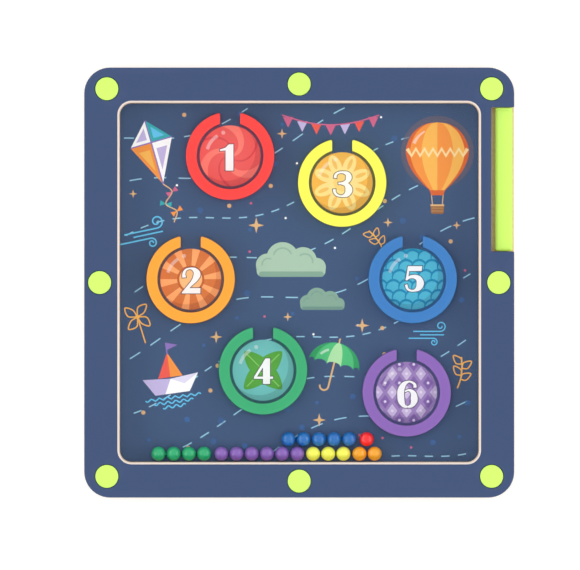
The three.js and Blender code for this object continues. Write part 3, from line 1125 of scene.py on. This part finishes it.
def pen():
    """Each piece is stacked up as rounded squares and circles, and then laid along Y.

    At the low end row k is the square moved in by the rounding times 1 less the sine of its angle. The body
    ends in a bore, and the end piece in a spigot with a pocket.
    """
    outline = square(PEN_WIDTH, PEN_EDGE_ROUND, 8)
    circle, middle = unit(outline), 0 * outline
    turn = np.linspace(0, math.pi / 2, 9)
    low_end = [(moved_in(outline, PEN_END_ROUND * (1 - np.sin(angle))),
                PEN_LOW + PEN_END_ROUND * (1 - np.cos(angle))) for angle in turn]
    seam, bore, bore_end = moved_in(outline, PEN_SEAM), PEN_BORE * circle, PEN_LOW + PEN_WALL
    body = [(middle, PEN_LOW), *low_end, (outline, TIP_SEAT - PEN_SEAM), (seam, TIP_SEAT),
            (bore, TIP_SEAT), (bore, bore_end), (middle, bore_end)]
    pocket, spigot, low = POCKET * circle, SPIGOT * circle, TIP_SEAT - SPIGOT_LENGTH
    end = [(middle, TIP_SEAT), (pocket, TIP_SEAT), (pocket, low), (spigot, low), (spigot, TIP_SEAT),
           (seam, TIP_SEAT), (outline, TIP_SEAT + PEN_SEAM)]
    end += [(moved_in(outline, inset), PEN_HIGH - depth) for inset, depth in PEN_CROWN]
    end.append((middle, PEN_HIGH))
    x, z = PEN_AXIS
    for name, rows, node in (("pen_body", body, "pen_barrel"), ("pen_end", end, "pen_tip")):
        points, quads, triangles = stacked(rows)
        laid = points[:, [0, 2, 1]] + (x, 0, z)
        piece(name, (laid, quads, triangles), lime, node, "pen")


def caps():
    """A cap is turned: flat skin, rounded edge, side with a chamfered foot, and a bore for the screw."""
    edge = eased(CAP_TOP, CAP_SEAT + CAP_FOOT, CAP_ROUND, lower=False, steps=6)
    skin = CAP_TOP - CAP_SKIN
    profile = [(0, CAP_TOP), *[(CAP_RADIUS - inset, height) for inset, height in edge],
               (CAP_RADIUS - CAP_FOOT, CAP_SEAT), (CAP_BORE, CAP_SEAT), (CAP_BORE, skin), (0, skin)]
    for where, (x, y) in CAPS.items():
        shape = spun(profile, (x, y, 0), 64)
        piece(f"screw_cover_{where}", shape, lime, f"cap_{where}")


def metal_parts():
    """The screws and the pen's magnet keep the frame's own meshes, plated."""
    for where in CAPS:
        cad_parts[f"screw_{where}"].material_slots[0].material = zinc
    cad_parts["pen_magnet"].material_slots[0].material = nickel


# Floor, light and camera

FLOOR_SIZE = 6000.0
FLOOR_CORNER = 10.0
FLOOR_TUCK = 1.0
FLOOR_LEVEL = 0.82
FLOOR_GLOW = 0.28
WORLD_LEVEL = 0.46
# Places and sizes of lamps and camera in metres, and powers in watts
LAMPS = {
    "lamp_left": ((-1.9, 0.0, 1.14), (4.0, 0.8), 20.5),
    "lamp_right": ((1.9, 0.0, 1.14), (4.0, 0.8), 20.5),
    "lamp_above": ((0.0, 0.0, 2.2), (1.3, 1.3), 19.5),
}
CAMERA_PLACE = (-0.00643, -0.0017, 12.0)
LENS = 1066.0


def seen_rays(tree):
    """A socket that is 1 for rays that the camera, a mirror or glass sends."""
    path = tree.nodes.new("ShaderNodeLightPath")
    total = path.outputs["Is Camera Ray"]
    for name in ("Is Glossy Ray", "Is Transmission Ray"):
        join = tree.nodes.new("ShaderNodeMath")
        join.operation = "MAXIMUM"
        tree.links.new(total, join.inputs[0])
        tree.links.new(path.outputs[name], join.inputs[1])
        total = join.outputs[0]
    return total


def floor():
    """A white floor, open under the board, that takes the shadow and glows a little for seen rays."""
    loops = [square(FLOOR_SIZE, FLOOR_CORNER), square(BOARD - FLOOR_TUCK, BOARD_CORNER)]
    points, triangles = filled(loops, True)
    mesh = bpy.data.meshes.new("floor")
    mesh.from_pydata((at_height(points, 0) * MM).tolist(), [], triangles.tolist())
    made = Finish("floor_white")
    mesh.materials.append(made.set({
        "Base Color": (FLOOR_LEVEL, FLOOR_LEVEL, FLOOR_LEVEL, 1),
        "Roughness": 1.0,
        "Specular IOR Level": 0.0,
        "Emission Strength": FLOOR_GLOW * Wire(made, seen_rays(made.tree)),
    }))
    placed("floor", mesh)


def light():
    """An even white sky, and a soft lamp on each side and above. The one above gives no highlight."""
    world = bpy.data.worlds.new("studio")
    scene.world = world
    world.use_nodes = True
    tree = world.node_tree
    level = tree.nodes.new("ShaderNodeMapRange")
    level.inputs["To Min"].default_value = WORLD_LEVEL
    tree.links.new(seen_rays(tree), level.inputs["Value"])
    tree.nodes["Background"].inputs["Color"].default_value = (1, 1, 1, 1)
    tree.links.new(level.outputs[0], tree.nodes["Background"].inputs["Strength"])
    for name, (place, size, power) in LAMPS.items():
        data = bpy.data.lights.new(name, "AREA")
        data.shape = "RECTANGLE"
        data.size, data.size_y = size
        data.energy = power
        lamp = placed(name, data)
        lamp.location = place
        lamp.rotation_euler = (-Vector(place)).to_track_quat("-Z", "Y").to_euler()
        lamp.visible_camera = False
        lamp.visible_glossy = name != "lamp_above"


def camera():
    """A long lens straight above the board."""
    data = bpy.data.cameras.new("camera")
    data.lens = LENS
    scene.camera = placed("camera", data)
    scene.camera.location = CAMERA_PLACE


board_layers()
printed_floor()
rings()
balls()
pen()
caps()
metal_parts()
floor()
light()
camera()
scene.view_settings.view_transform = "Standard"

bpy.context.view_layer.update()
